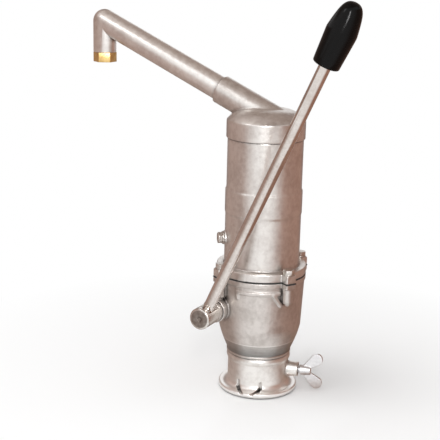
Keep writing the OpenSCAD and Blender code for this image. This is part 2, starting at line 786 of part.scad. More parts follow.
// Cap: a cast lid with a socket that leans out to the spout
module cylinder_cap() {
    r = cap_d / 2;
    thread_top = cap_z + cap_thread_l + cap_gasket_t;
    color(cast_grey) difference() {
        union() {
            rotate_extrude() polygon(concat([[0, cap_z], [r, cap_z]], lid(r, dome_h)));
            intersection() {
                on_spout() translate([0, 0, -r]) cylinder(d = socket_d, h = r + socket_l);
                union() {
                    translate([0, 0, lid_z - edge]) cylinder(r = r - edge, h = 2 * socket_d);
                    translate([-socket_l - r, -r, lid_z]) cube([socket_l + r, 2 * r, 3 * r]);
                }
            }
        }
        // threaded skirt, hollow of the lid, then the passage and the seat of the pipe
        translate([0, 0, cap_z - cut])
            cylinder(d = cap_thread_d + 2 * seat_fit, h = thread_top - cap_z + cut);
        rotate_extrude()
            polygon(concat([[0, cap_z], [bore_d / 2, cap_z]], lid(bore_d / 2, dome_h - dome_wall)));
        on_spout() cylinder(r = spout_d / 2 - spout_wall, h = socket_l + cut);
        on_spout() translate([0, 0, socket_l - spout_insert])
            cylinder(d = spout_d + 2 * seat_fit, h = spout_insert + cut);
    }
}

module cap_gasket() {
    color(rubber) translate([0, 0, cap_z + cap_thread_l])
        ring(cap_thread_d / 2 - seat_fit, bore_d / 2, cap_gasket_t);
}

// The pipe's outline, or its bore, from the socket round the elbow to the outlet
module spout_run(r, extra) {
    on_spout() {
        translate([0, 0, socket_l - spout_insert + seat_fit - extra])
            cylinder(r = r, h = spout_l - socket_l + spout_insert - seat_fit + extra);
        translate([0, 0, spout_l]) {
            sphere(r);
            rotate([0, 90 - spout_angle, 0]) rotate([180, 0, 0]) cylinder(r = r, h = outlet_l + extra);
        }
    }
}

module spout_pipe() {
    color(cast_grey) difference() {
        spout_run(spout_d / 2, 0);
        spout_run(spout_d / 2 - spout_wall, cut);
    }
}

// Brass nozzle: a hexagon below the pipe and a spigot inside it
module nozzle_ring() {
    insert_r = spout_d / 2 - spout_wall - seat_fit;
    color(brass) translate([outlet_x, 0, outlet_z]) difference() {
        union() {
            translate([0, 0, -nozzle_h]) rotate([0, 0, nozzle_turn]) hexagon(nozzle_af, nozzle_h);
            translate([0, 0, -cut]) cylinder(r = insert_r, h = nozzle_insert + cut);
        }
        translate([0, 0, -nozzle_h - cut])
            cylinder(d = nozzle_bore_d, h = nozzle_h + nozzle_insert + 2 * cut);
    }
}

// Outwards along the vent plug, from the face of its boss
module on_plug() {
    translate([0, 0, joint_z + plug_z]) rotate([0, 0, plug_angle]) rotate([0, 90, 0])
        translate([0, 0, tube_low_d / 2 + plug_boss_h]) children();
}

module vent_washer() {
    color(steel) on_plug() ring(plug_washer_d / 2, plug_d / 2 + seat_fit, plug_washer_t);
}

module vent_plug() {
    stem_l = (tube_low_d - bore_d) / 2 + plug_boss_h - edge;
    color(steel) on_plug() {
        translate([0, 0, plug_washer_t]) hexagon(plug_af, plug_head_h);
        translate([0, 0, -stem_l]) cylinder(d = plug_d, h = stem_l + plug_washer_t + cut);
    }
}

// Bronze bushes of the shaft, in the front boss and in the closed rear boss
module front_bush() {
    color(bronze) on_shaft() difference() {
        y_bar(bush_r, -packing_y, -boss_face);
        y_bar(shaft_r + run_fit, -packing_y - cut, 0);
    }
}

module rear_bush() {
    color(bronze) on_shaft() difference() {
        y_bar(bush_r, boss_face, rear_bore_end - seat_fit);
        y_bar(shaft_r + run_fit, 0, rear_bore_end);
    }
}

module gland_packing() {
    color(rubber) on_shaft() difference() {
        y_bar(packing_r, -packing_y - packing_l, -packing_y);
        y_bar(shaft_r + run_fit, -packing_y - packing_l - cut, -packing_y + cut);
    }
}

// Gland nut: a knurled ring whose thread presses on the packing
module gland_nut() {
    color(steel) on_shaft() difference() {
        union() {
            y_bar(gland_nut_d / 2, -front_boss_reach - gland_nut_w, -front_boss_reach);
            y_bar(packing_r, -front_boss_reach - cut, -front_boss_reach + gland_thread_l);
        }
        y_bar(shaft_r + run_fit, -front_boss_reach - gland_nut_w - cut, -packing_y);
    }
}

// Shaft with its cross-drilled head
module crank_shaft() {
    head_r = head_d / 2;
    color(steel) difference() {
        on_shaft() {
            y_bar(shaft_r, -head_y - cut, rear_bore_end - face_gap);
            translate([0, -head_y, 0]) rotate([90, 0, 0]) {
                cylinder(r = head_r, h = head_l - edge);
                translate([0, 0, head_l - edge]) cylinder(r1 = head_r, r2 = head_r - edge, h = edge);
            }
        }
        on_rod() translate([0, 0, rod_foot]) cylinder(d = rod_d + 2 * seat_fit, h = head_d);
        on_shaft() y_bar(rod_pin_d / 2 + seat_fit, -head_y - head_l - cut, -head_y - cut);
        on_shaft() translate([0, 0, -head_d]) cylinder(d = arm_pin_d + 2 * seat_fit, h = 2 * head_d);
    }
}

// Pin along the shaft that keeps the rod in the head
module rod_pin() {
    color(steel) on_shaft() y_bar(rod_pin_d / 2, -head_y - head_l, -head_y - cut - seat_fit);
}

module lever_rod() {
    color(steel) difference() {
        on_rod() translate([0, 0, rod_foot + seat_fit])
            cylinder(d = rod_d, h = rod_l + grip_insert - rod_foot - seat_fit);
        on_shaft() y_bar(rod_pin_d / 2 + seat_fit, -head_y - head_l - cut, -head_y);
    }
}

// Moulded grip: widens to a ridge past its middle, then narrows to a round tip
module lever_grip() {
    round_r = grip_tip_d / 2 - edge;
    profile = concat(
        [[0, 0], [grip_base_d / 2 - edge, 0], [grip_base_d / 2, edge], [grip_d / 2, grip_ridge]],
        [for (i = [1:8]) [grip_d / 2 - (grip_d - grip_tip_d) / 2 * (1 - cos(90 * i / 8)),
            grip_ridge + (grip_l - round_r - grip_ridge) * i / 8]],
        arc([edge, grip_l - round_r], round_r, 0, 90),
        [[0, grip_l]]);
    color(black) on_rod() translate([0, 0, rod_l]) difference() {
        rotate_extrude() polygon(profile);
        translate([0, 0, -cut]) cylinder(d = rod_d + 2 * seat_fit, h = grip_insert + seat_fit + cut);
    }
}

// Rocker arm: a hub on the shaft with two cheeks that straddle the yoke
module rocker_arm() {
    hub_r = arm_hub_d / 2;
    color(cast_grey) on_shaft() difference() {
        union() {
            y_bar(hub_r, -arm_half, arm_half);
            for (y = [cheek_y, -cheek_y - cheek_t])
                y_plate(y, y + cheek_t) tapered_bar([0, 0], hub_r - edge, [arm_l, 0], cheek_tip_r);
        }
        y_bar(shaft_r + seat_fit, -arm_half - cut, arm_half + cut);
        translate([arm_l, 0, 0]) y_bar(roller_pin_d / 2 + seat_fit, -arm_half, arm_half);
        translate([0, 0, -arm_hub_d]) cylinder(d = arm_pin_d + 2 * seat_fit, h = 2 * arm_hub_d);
    }
}

module arm_pin() {
    color(steel) on_shaft() translate([0, 0, -arm_hub_d / 2 + edge])
        cylinder(d = arm_pin_d, h = arm_hub_d - 2 * edge);
}

module on_roller() {
    translate([roller_x, 0, shaft_z]) children();
}

module roller_pin() {
    color(steel) on_roller() {
        y_bar(roller_pin_d / 2 + pin_head_w, -cheek_out - pin_head_t, -cheek_out);
        y_bar(roller_pin_d / 2, -cheek_out - cut, cheek_out + roller_clip_t + edge);
    }
}

module roller_clip() {
    color(steel) on_roller() difference() {
        y_bar(roller_pin_d / 2 + clip_w, cheek_out + seat_fit, cheek_out + roller_clip_t);
        y_bar(roller_pin_d / 2 + seat_fit, cheek_out - cut, cheek_out + roller_clip_t + cut);
    }
}

module roller() {
    color(bronze) on_roller() difference() {
        y_bar(roller_r, -yoke_w / 2, yoke_w / 2);
        y_bar(roller_pin_d / 2 + run_fit, -yoke_w, yoke_w);
    }
}

// Piston rod: a slotted yoke below, a collar and a threaded end above
module piston_rod() {
    low = [slot_x0 - yoke_wall, -yoke_half_h];
    high = [slot_x1 + yoke_wall, yoke_half_h];
    color(steel) {
        translate([0, 0, shaft_z]) y_plate(-yoke_w / 2, yoke_w / 2) difference() {
            round_rect(low, high, yoke_wall);
            translate([slot_x0 + slot_half, -slot_half])
                square([slot_x1 - slot_x0 - 2 * slot_half, 2 * slot_half]);
            for (x = [slot_x0 + slot_half, slot_x1 - slot_half])
                translate([x, 0]) circle(slot_half);
        }
        translate([0, 0, shaft_z + yoke_half_h - edge])
            cylinder(d = piston_rod_d, h = piston_low - shaft_z - yoke_half_h + edge);
        translate([0, 0, piston_low - collar_t]) cylinder(d = collar_d, h = collar_t);
        translate([0, 0, piston_low - cut])
            cylinder(d = rod_end_d, h = nut_z + piston_nut_h + rod_end_out - piston_low + cut);
    }
}

// Piston: a ported disc with a raised valve seat
module piston_body() {
    color(cast_grey) translate([0, 0, piston_low]) difference() {
        union() {
            cylinder(r = piston_r, h = piston_t);
            cylinder(d = seat_d, h = seat_z - piston_low);
        }
        translate([0, 0, -cut]) cylinder(d = rod_end_d + 2 * seat_fit, h = seat_z);
        for (i = [0:port_count - 1])
            rotate([0, 0, 360 / port_count * i]) translate([port_ring_r, 0, -cut])
                cylinder(d = port_d, h = seat_z);
        at_cup_screws() translate([0, 0, edge]) cylinder(d = cup_screw_d + 2 * seat_fit, h = piston_t);
    }
}

module at_cup_screws() {
    for (i = [0:3])
        rotate([0, 0, 45 + 90 * i]) translate([cup_screw_ring, 0, 0]) children();
}

// Cup seal: a flat base with a lip against the bore
module piston_cup() {
    color(rubber) translate([0, 0, cup_z]) difference() {
        cylinder(r = cup_r, h = cup_t + cup_lip_h);
        translate([0, 0, cup_t]) cylinder(r = cup_r - cup_t, h = cup_lip_h + cut);
        translate([0, 0, -cut]) cylinder(r = cup_in_r, h = cup_t + 2 * cut);
        at_cup_screws() translate([0, 0, -cut])
            cylinder(d = cup_screw_d + 2 * seat_fit, h = cup_t + 2 * cut);
    }
}

module cup_plate() {
    color(brass) translate([0, 0, cup_z + cup_t]) difference() {
        ring(cup_r - cup_t - seat_fit, cup_in_r, cup_plate_t);
        at_cup_screws() translate([0, 0, -cut])
            cylinder(d = cup_screw_d + 2 * seat_fit, h = cup_plate_t + 2 * cut);
    }
}

module cup_screws() {
    color(steel) translate([0, 0, seat_z]) at_cup_screws() {
        cylinder(d = cup_screw_head_d, h = cup_screw_head_h);
        translate([0, 0, piston_low + 2 * edge - seat_z])
            cylinder(d = cup_screw_d, h = seat_z - piston_low - edge);
    }
}

module valve_sleeve() {
    color(brass) translate([0, 0, seat_z]) ring(sleeve_r, rod_end_d / 2 + seat_fit, stop_z - seat_z);
}

module piston_valve() {
    color(brass) translate([0, 0, seat_z]) ring(valve_d / 2, sleeve_r + run_fit, valve_t);
}

module valve_stop() {
    color(steel) translate([0, 0, stop_z]) ring(stop_d / 2, rod_end_d / 2 + seat_fit, stop_t);
}

module piston_nut() {
    color(steel) translate([0, 0, nut_z]) difference() {
        hexagon(piston_nut_af, piston_nut_h);
        translate([0, 0, -cut]) cylinder(d = rod_end_d + 2 * seat_fit, h = piston_nut_h + 2 * cut);
    }
}

// Suction valve seat with a three-armed guide for the stem
module valve_seat() {
    guide_r = stem_d / 2 + guide_wall;
    color(brass) difference() {
        union() {
            translate([0, 0, floor_z]) ring(seat_flange_d / 2, inlet_d / 2, seat_flange_t);
            translate([0, 0, spider_z]) ring(seat_shank_d / 2, inlet_d / 2, floor_z - spider_z + cut);
            translate([0, 0, spider_z]) {
                cylinder(r = guide_r, h = spider_h);
                for (i = [0:2])
                    rotate([0, 0, 120 * i]) translate([0, -spider_w / 2, 0])
                        cube([inlet_d / 2 + cut, spider_w, spider_h]);
            }
        }
        translate([0, 0, spider_z - cut]) cylinder(d = stem_d + 2 * run_fit, h = spider_h + 2 * cut);
    }
}

module suction_valve() {
    color(brass) {
        translate([0, 0, disc_z]) cylinder(d = suction_disc_d, h = suction_disc_t);
        translate([0, 0, clip_z - edge]) cylinder(d = stem_d, h = disc_z - clip_z + 2 * edge);
    }
}

module stem_clip() {
    color(steel) translate([0, 0, clip_z]) ring(stem_d / 2 + clip_w, stem_d / 2 + seat_fit, clip_t);
}

// One tube of the telescope; sliding tubes have a bead at the top
module telescope_tube(i) {
    color(steel) translate([0, 0, tube_low[i]]) difference() {
        union() {
            cylinder(r = tube_r[i], h = tube_top[i] - tube_low[i]);
            if (i > 0)
                translate([0, 0, tube_top[i] - tube_low[i] - bead_h])
                    cylinder(r = tube_r[i] + tube_gap - run_fit, h = bead_h);
        }
        translate([0, 0, -cut])
            cylinder(r = tube_r[i] - tube_wall, h = tube_top[i] - tube_low[i] + 2 * cut);
    }
}

// Guide collar on the end of tube i, round the next tube
module guide_collar(i) {
    next_r = tube_r[i + 1];
    color(steel) translate([0, 0, collar_z[i] - collar_l / 2]) difference() {
        cylinder(r = tube_r[i] + collar_wall, h = collar_l);
        translate([0, 0, -cut]) cylinder(r = next_r + run_fit, h = collar_l);
        translate([0, 0, collar_lip]) cylinder(r = next_r + tube_gap + tube_wall / 2, h = grip_ring_h);
        translate([0, 0, collar_l / 2]) cylinder(r = tube_r[i] + seat_fit, h = collar_l);
    }
}

// Friction ring inside a guide collar
module grip_ring(i) {
    next_r = tube_r[i + 1];
    color(rubber) translate([0, 0, collar_z[i] - collar_l / 2 + collar_lip])
        ring(next_r + tube_gap + tube_wall / 2 - seat_fit, next_r + run_fit, grip_ring_h - seat_fit);
}

// Strainer: a perforated cup on the end of the inner tube
module strainer() {
    r_out = tube_r[2] + collar_wall;
    r_in = tube_r[2] - tube_wall;
    color(brass) translate([0, 0, tube_low[2] - strainer_h / 2]) difference() {
        cylinder(r = r_out, h = strainer_h);
        translate([0, 0, strainer_base]) cylinder(r = r_in, h = strainer_h);
        translate([0, 0, strainer_h / 2]) cylinder(r = tube_r[2] + seat_fit, h = strainer_h);
        for (i = [0:strainer_slots - 1])
            rotate([0, 0, 360 / strainer_slots * i])
                translate([r_in - cut, -strainer_slot_w / 2, 2 * strainer_base])
                    cube([r_out - r_in + 2 * cut, strainer_slot_w, strainer_h / 2 - 3 * strainer_base]);
    }
}

bung_adapter();
bung_gasket();
clamp_pad();
wing_screw();
lower_casing();
joint_gasket();
cylinder_node();  // cylinder
flange_bolts();
flange_washers();
cylinder_cap();
cap_gasket();
spout_pipe();
nozzle_ring();
vent_plug();
vent_washer();
front_bush();
rear_bush();
gland_packing();
gland_nut();
crank_shaft();
rod_pin();
lever_rod();
lever_grip();
rocker_arm();
arm_pin();
roller_pin();
roller_clip();
roller();
piston_rod();
piston_body();
piston_cup();
cup_plate();
cup_screws();
valve_sleeve();
valve_stop();
piston_nut();
piston_valve();
valve_seat();
suction_valve();
stem_clip();
telescope_tube(0);  // suction_tube
guide_collar(0);  // suction_collar
grip_ring(0);  // suction_grip_ring
telescope_tube(1);  // middle_tube
guide_collar(1);  // middle_collar
grip_ring(1);  // middle_grip_ring
telescope_tube(2);  // inner_tube
strainer();
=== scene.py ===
import json
import math

import bmesh
import bpy
from mathutils import Matrix, Vector


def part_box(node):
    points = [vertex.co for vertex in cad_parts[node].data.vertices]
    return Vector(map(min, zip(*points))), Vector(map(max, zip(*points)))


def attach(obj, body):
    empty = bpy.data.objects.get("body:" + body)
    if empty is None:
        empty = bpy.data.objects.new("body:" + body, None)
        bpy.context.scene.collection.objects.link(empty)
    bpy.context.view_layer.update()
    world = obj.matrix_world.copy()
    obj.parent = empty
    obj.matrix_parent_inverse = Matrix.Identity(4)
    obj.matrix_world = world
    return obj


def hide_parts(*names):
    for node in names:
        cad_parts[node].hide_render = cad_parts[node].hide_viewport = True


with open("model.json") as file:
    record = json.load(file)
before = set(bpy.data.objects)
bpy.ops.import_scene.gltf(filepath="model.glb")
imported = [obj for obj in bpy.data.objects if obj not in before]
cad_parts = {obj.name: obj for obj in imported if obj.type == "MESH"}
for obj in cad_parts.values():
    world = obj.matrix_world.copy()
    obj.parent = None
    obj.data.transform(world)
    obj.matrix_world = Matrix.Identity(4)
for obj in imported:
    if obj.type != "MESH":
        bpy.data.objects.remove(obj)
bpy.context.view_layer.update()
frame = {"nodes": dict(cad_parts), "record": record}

# Bung adapter: a die-cast zinc flange and neck that screws into a threaded hole. Its skin is
# grainy, its edges are soft from the mould and lightened as wear and as painted highlight, its
# foot is lighter towards the bottom, and the thread under the flange is cut afterwards.
nodes = frame["nodes"]
record = frame["record"]
slot_of = {part["node"]: part["material_slot"] for part in record["subparts"]}
body_of = {node: body for body, names in record["behaviour"]["bodies"].items() for node in names}


class Wire:
    """A socket in a material. Sums and products of wires add their own Math nodes."""

    def __init__(self, tree, socket=None):
        self.tree = tree
        self.socket = socket

    def add(self, kind, settings, sockets, output=0):
        new = self.tree.nodes.new(kind)
        for name, value in settings.items():
            if name == "stops":
                elements = new.color_ramp.elements
                while len(elements) < len(value):
                    elements.new(1.0)
                for element, (place, tone) in zip(elements, value):
                    element.position = place
                    element.color = (*tone, 1.0)
            else:
                setattr(new, name, value)
        for name, value in sockets.items():
            if isinstance(value, Wire):
                self.tree.links.new(value.socket, new.inputs[name])
            else:
                new.inputs[name].default_value = value
        return Wire(self.tree, new.outputs[output])

    def math(self, operation, left, right):
        return self.add("ShaderNodeMath", {"operation": operation}, {0: left, 1: right})

    def __add__(self, other):
        return self.math("ADD", self, other)

    def __sub__(self, other):
        return self.math("SUBTRACT", self, other)

    def __rsub__(self, other):
        return self.math("SUBTRACT", other, self)

    def __mul__(self, other):
        return self.math("MULTIPLY", self, other)

    __radd__ = __add__
    __rmul__ = __mul__


def noise(place, size, detail=2.0, rough=0.5, stretch=(1, 1, 1)):
    """Cloudy variation whose patches are about size metres across."""
    if stretch != (1, 1, 1):
        place = place.add("ShaderNodeMapping", {}, {"Vector": place, "Scale": stretch})
    sockets = {"Vector": place, "Scale": 1 / size, "Detail": detail, "Roughness": rough}
    return place.add("ShaderNodeTexNoise", {}, sockets, "Fac")


def ramp(mask, *stops):
    return mask.add("ShaderNodeValToRGB", {"stops": stops}, {"Fac": mask}, "Color")


def band(mask, low, high):
    """0 before low, 1 past high and an even change between them."""
    sockets = {"Value": mask, "From Min": low, "From Max": high}
    return mask.add("ShaderNodeMapRange", {}, sockets, "Result")


def mixed(mask, tone, other):
    return mask.add("ShaderNodeMix", {"data_type": "RGBA"}, {0: mask, 6: tone, 7: other}, 2)


def bump(height, depth):
    return height.add("ShaderNodeBump", {}, {"Height": height, "Distance": depth}, "Normal")


def new_finish(name):
    material = bpy.data.materials.new(name)
    material.use_nodes = True
    return material, Wire(material.node_tree).add("ShaderNodeTexCoord", {}, {}, "Object")


def shade(material, **sockets):
    """Sets the shader's sockets: wires are linked, and plain numbers stay on the shader."""
    shader = material.node_tree.nodes["Principled BSDF"]
    for name, value in sockets.items():
        socket = shader.inputs[name.replace("_", " ")]
        if isinstance(value, Wire):
            material.node_tree.links.new(value.socket, socket)
        else:
            socket.default_value = value


def cast_finish(name, dull, bright, rough, skin, turned=None, lighter_below=None):
    """Zinc skin with cloudy patches and fine grain. Its edges are lightened, partly as wear and
    partly as a painted highlight, and its corners carry painted shade. Between the two heights
    of the lathe band, a tool has left fine rings, in a band painted darker as shade, darkest at
    the lower one, with a painted highlight along its top. Below the two heights for the lighter
    foot it is lighter all over."""
    corner_shade = (0.05, 0.04, 0.035, 1.0)
    corner_shade_reach = 0.004
    edge_wear_highlight_tone = (0.9, 0.88, 0.86, 1.0)
    lip_highlight_tone = (0.86, 0.84, 0.82, 1.0)
    lighter_tone = (0.97, 0.95, 0.93, 1.0)
    material, place = new_finish(name)
    clouds = noise(place, 0.018, detail=4.0, rough=0.55)
    blotches = noise(place, 0.0045, detail=3.0, rough=0.6)
    grain = noise(place, 0.001, rough=0.6)
    bend = place.add("ShaderNodeNewGeometry", {}, {}, "Pointiness")
    # Pointy edges are lightened, partly as edge wear and partly as a painted highlight.
    edge_wear_and_highlight = band(bend, 0.515, 0.58)
    # Ambient occlusion darkens corners, creases and slits towards near black: painted shade.
    opened = place.add("ShaderNodeAmbientOcclusion", {"samples": 6}, {"Distance": corner_shade_reach}, "AO")
    sunk = band(opened, 0.92, 0.48)
    tone = ramp(clouds * 0.6 + blotches * 0.4, (0.36, dull), (0.58, bright))
    height = place.add("ShaderNodeSeparateXYZ", {}, {"Vector": place}, "Z")
    # Below the given heights the colour is lighter all over, fading out above them.
    if lighter_below:
        tone = mixed(band(height, lighter_below[1], lighter_below[0]) * 0.8, tone, lighter_tone)
    tone = mixed(sunk * 0.9, tone, corner_shade)
    tone = mixed(edge_wear_and_highlight * 0.4, tone, edge_wear_highlight_tone)
    relief = clouds * 0.5 + blotches * 0.3 + grain * 0.25
    # The lathe band is painted darker as shade, most at its lower edge, and its top edge gets a
    # painted highlight. The fine rings in it are the tool's own.
    if turned:
        low, high = turned
        above = band(height, low - 0.0004, low)
        below = band(height, high, low) * 0.65 + band(height, high, high - 0.0003) * 0.35
        shaded_turned_band = above * below
        lip_highlight = band(height, high - 0.0002, high + 0.0004) * band(height, high + 0.0012, high + 0.0006)
        rings = noise(place, 0.0007, detail=1.0, stretch=(0.02, 0.02, 1))
        shaded_ring_tone = ramp(rings, (0.3, (0.17, 0.17, 0.165)), (0.7, (0.28, 0.28, 0.27)))
        tone = mixed(shaded_turned_band * 0.9, tone, shaded_ring_tone)
        tone = mixed(lip_highlight * 0.8, tone, lip_highlight_tone)
        relief = relief * (1 - shaded_turned_band) + rings * shaded_turned_band * 0.3
    shade(
        material,
        Base_Color=tone,
        Metallic=0.95,
        Roughness=rough + blotches * 0.16,
        Normal=bump(relief, skin),
    )
    return material


def merged_copy(node):
    """The node's shape with its loose triangles joined up."""
    part = bmesh.new()
    part.from_mesh(nodes[node].data)
    bmesh.ops.remove_doubles(part, verts=part.verts, dist=1e-6)
    return part


def piece(name, part, node, finish, stands_in=True, sharp=40):
    """Makes an object of a bmesh, in place of a node or beside it, on the node's own body."""
    mesh = bpy.data.meshes.new(name)
    part.to_mesh(mesh)
    part.free()
    mesh.materials.append(finish)
    mesh.shade_smooth()
    mesh.set_sharp_from_angle(angle=math.radians(sharp))
    made = bpy.data.objects.new(name, mesh)
    bpy.context.scene.collection.objects.link(made)
    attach(made, body_of[node])
    if stands_in:
        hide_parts(node)
    return made


def soft_casting(part, node, finish, grain, rounds, kept=1.0):
    """A casting as it leaves the mould: every edge and corner of the shape is rounded. Only the
    share kept of its faces stays, where it would have too many."""
    made = piece(node + "_cast", part, node, finish)
    skin = made.modifiers.new("skin", "REMESH")
    skin.mode = "VOXEL"
    skin.voxel_size = grain
    skin.use_smooth_shade = True
    soften = made.modifiers.new("soften", "SMOOTH")
    soften.factor = 0.5
    soften.iterations = rounds
    if kept < 1:
        thin = made.modifiers.new("thin", "DECIMATE")
        thin.ratio = kept


def thread_core(part, core, crest, top):
    """Thins the plain blank of a thread, below the height top, from its crests to its core."""
    blank = [v for v in part.verts if v.co.z < top and abs(v.co.xy.length - crest) < 1e-4]
    shrink = core / crest
    bmesh.ops.scale(part, vec=(shrink, shrink, 1), verts=blank)


def screw_thread(core, crest, pitch, length, low):
    """One ridge that winds up along Z from the height low, sunk a little into its core."""
    turn_steps = 48
    foot = core - pitch * 0.1
    steps = int((length / pitch - 1) * turn_steps)
    ridge = bmesh.new()
    outline = [(foot, 0.05), (crest, 0.42), (crest, 0.58), (foot, 0.95)]
    corners = [ridge.verts.new((reach, 0, share * pitch)) for reach, share in outline]
    ridge.faces.new(corners)
    bmesh.ops.spin(
        ridge,
        geom=ridge.verts[:] + ridge.edges[:] + ridge.faces[:],
        axis=(0, 0, 1),
        cent=(0, 0, 0),
        dvec=(0, 0, pitch / turn_steps),
        angle=math.tau * steps / turn_steps,
        steps=steps,
    )
    bmesh.ops.recalc_face_normals(ridge, faces=ridge.faces)
    bmesh.ops.translate(ridge, vec=(0, 0, low), verts=ridge.verts)
    return ridge


# Below these heights the adapter's colour is lighter all over.
adapter_lighter_below = (0.006, 0.014)
bright_adapter = cast_finish(
    "adapter_zinc", (0.72, 0.69, 0.66), (0.88, 0.86, 0.83), rough=0.26, skin=0.0004, lighter_below=adapter_lighter_below
)
bung_core = 0.0284
bung_crest = 0.0298
bung_pitch = 0.002309
bung_run_out = 0.001
bung_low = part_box("bung_adapter")[0][2]
adapter = merged_copy("bung_adapter")
thread_core(adapter, bung_core, bung_crest, top=1e-5)
soft_casting(adapter, "bung_adapter", bright_adapter, grain=0.0005, rounds=3, kept=0.64)
bung_thread = screw_thread(bung_core, bung_crest, bung_pitch, -bung_low - bung_run_out, bung_low)
piece("bung_thread", bung_thread, "bung_adapter", bright_adapter, stands_in=False)


# Bung gasket: a flat ring of black nitrile rubber, cut from sheet. The adapter's flange holds
# it down all round.
def dress(finish, *names):
    """Gives nodes that stay as they are a finish."""
    for name in names:
        nodes[name].data.materials.clear()
        nodes[name].data.materials.append(finish)


rubber, place = new_finish("black_rubber")
bloom = noise(place, 0.002, detail=4.0, rough=0.6)
shade(
    rubber,
    Base_Color=ramp(bloom, (0.3, (0.018, 0.018, 0.018)), (0.7, (0.05, 0.048, 0.046))),
    Roughness=0.62 + bloom * 0.2,
    Normal=bump(bloom, 0.0001),
)
dress(rubber, "bung_gasket")

# Wing screw: a cast zinc screw with two leaf-shaped wings. It is tumbled and plated, so it
# is smoother and whiter than the castings. A short brass pad sits at its tip.
white_zinc, place = new_finish("bright_zinc")
mottle = noise(place, 0.003, detail=3.0, rough=0.6)
bend = place.add("ShaderNodeNewGeometry", {}, {}, "Pointiness")
# Hollows between the wings and the hub are darkened: painted shade.
hollow_shade = (0.12, 0.11, 0.11, 1.0)
plated_tone = ramp(mottle, (0.3, (0.74, 0.74, 0.75)), (0.7, (0.86, 0.86, 0.87)))
shade(
    white_zinc,
    Base_Color=mixed(band(bend, 0.485, 0.42) * 0.7, plated_tone, hollow_shade),
    Metallic=0.9,
    Roughness=0.26 + mottle * 0.14,
    Normal=bump(mottle, 0.0002),
)
shank_core = 0.0034
shank_crest = 0.004
shank_pitch = 0.00125
shank_length = 0.028
shank_sunk = 0.0004
joints = {joint["name"]: joint for joint in record["behaviour"]["joints"]}
screw_joint = joints["wing_screw_turn"]
to_screw = Vector(screw_joint["axis"]).to_track_quat("Z", "Y").to_matrix().to_4x4()
to_screw = Matrix.Translation(Vector(screw_joint["pos_m"])) @ to_screw
wings = merged_copy("wing_screw")
wings.transform(to_screw.inverted())
thread_core(wings, shank_core, shank_crest, top=0.0005)
wings.transform(to_screw)
soft_casting(wings, "wing_screw", white_zinc, grain=0.0003, rounds=3)
shank_low = shank_sunk - shank_length
shank_thread = screw_thread(shank_core, shank_crest, shank_pitch, shank_length, shank_low)
shank_thread.transform(to_screw)
piece("wing_screw_thread", shank_thread, "wing_screw", white_zinc, stands_in=False)

brass, place = new_finish("brass")
stain = noise(place, 0.006, detail=4.0, rough=0.6)
scratch = noise(place, 0.0006)
shade(
    brass,
    Base_Color=ramp(stain, (0.3, (0.62, 0.38, 0.13)), (0.62, (0.86, 0.62, 0.27))),
    Metallic=1.0,
    Roughness=0.25 + stain * 0.12 + scratch * 0.05,
    Normal=bump(scratch * 0.5 + stain * 0.5, 0.0001),
)
dress(brass, "clamp_pad")

# Lower casing: a zinc bowl on a spigot that turns in the adapter. The shaft's bosses, the rib
# with its leaning web and the bosses of the four flange bolts are cast in one piece with it,
# and its foot is turned on a lathe. The turned band is painted darker towards its lower edge as
# shade, with a painted highlight along its top.
# Heights of the foot's lathe band, which is painted darker as shade.
foot_heights = (0.0418, 0.0546)
bowl_zinc = cast_finish(
    "bowl_zinc", (0.54, 0.50, 0.47), (0.68, 0.64, 0.61), rough=0.28, skin=0.0005, turned=foot_heights
)
casing = merged_copy("lower_casing")
web_reach = 0.0431
web_width = 0.0036
web_depth = 0.0044
web_top = (math.radians(-48), 0.1115)
web_foot = (math.radians(-36), 0.0985)
top, foot = [
    Vector((web_reach * math.cos(angle), web_reach * math.sin(angle), height))
    for angle, height in (web_top, web_foot)
]
web_middle = (top + foot) / 2
along = foot - top
across = along.cross(Vector((web_middle.x, web_middle.y, 0)).normalized()).normalized()
outward = across.cross(along).normalized()
web_turn = Matrix((across, outward, along.normalized())).transposed().to_4x4()
web_size = Matrix.Diagonal((web_width, web_depth, along.length, 1))
web_place = Matrix.Translation(web_middle) @ web_turn @ web_size
bmesh.ops.create_cube(casing, size=1.0, matrix=web_place)
soft_casting(casing, "lower_casing", bowl_zinc, grain=0.0007, rounds=3, kept=0.5)

# Cylinder: a cast tube with a flange for the four bolts, a raised band and a plug boss.
# A rubber gasket lies between its flange and the casing's.
zinc = cast_finish("cast_zinc", (0.64, 0.60, 0.57), (0.78, 0.75, 0.72), rough=0.24, skin=0.0004)
soft_casting(merged_copy("cylinder"), "cylinder", zinc, grain=0.0008, rounds=5, kept=0.63)
dress(rubber, "joint_gasket")


# Flange bolts: four plated steel hexagon bolts on washers. They go down through the cylinder's
# flange into the bosses of the casing.
def eased(node, finish, width, steps=2, chosen=None):
    """A machined piece: the node's shape with its corners broken by a small round."""
    corner = math.radians(35)
    level = math.radians(0.6)
    part = merged_copy(node)
    bmesh.ops.dissolve_limit(part, angle_limit=level, verts=part.verts, edges=part.edges)
    edges = [e for e in part.edges if e.is_manifold and e.calc_face_angle() > corner]
    if chosen:
        edges = [e for e in edges if all(chosen(v.co) for v in e.verts)]
    bmesh.ops.bevel(
        part,
        geom=edges,
        offset=width,
        affect="EDGES",
        segments=steps,
        profile=0.5,
        material=-1,
        clamp_overlap=True,
    )
    piece(node + "_eased", part, node, finish)


steel, place = new_finish("plated_steel")
streaks = noise(place, 0.004, detail=3.0, rough=0.6)
specks = noise(place, 0.0008)
shade(
    steel,
    Base_Color=ramp(streaks, (0.3, (0.56, 0.52, 0.48)), (0.7, (0.74, 0.71, 0.68))),
    Metallic=1.0,
    Roughness=0.25 + streaks * 0.1 + specks * 0.04,
    Normal=bump(streaks * 0.6 + specks * 0.4, 0.00008),
)
eased("flange_bolts", steel, width=0.0005)
eased("flange_washers", steel, width=0.0002)

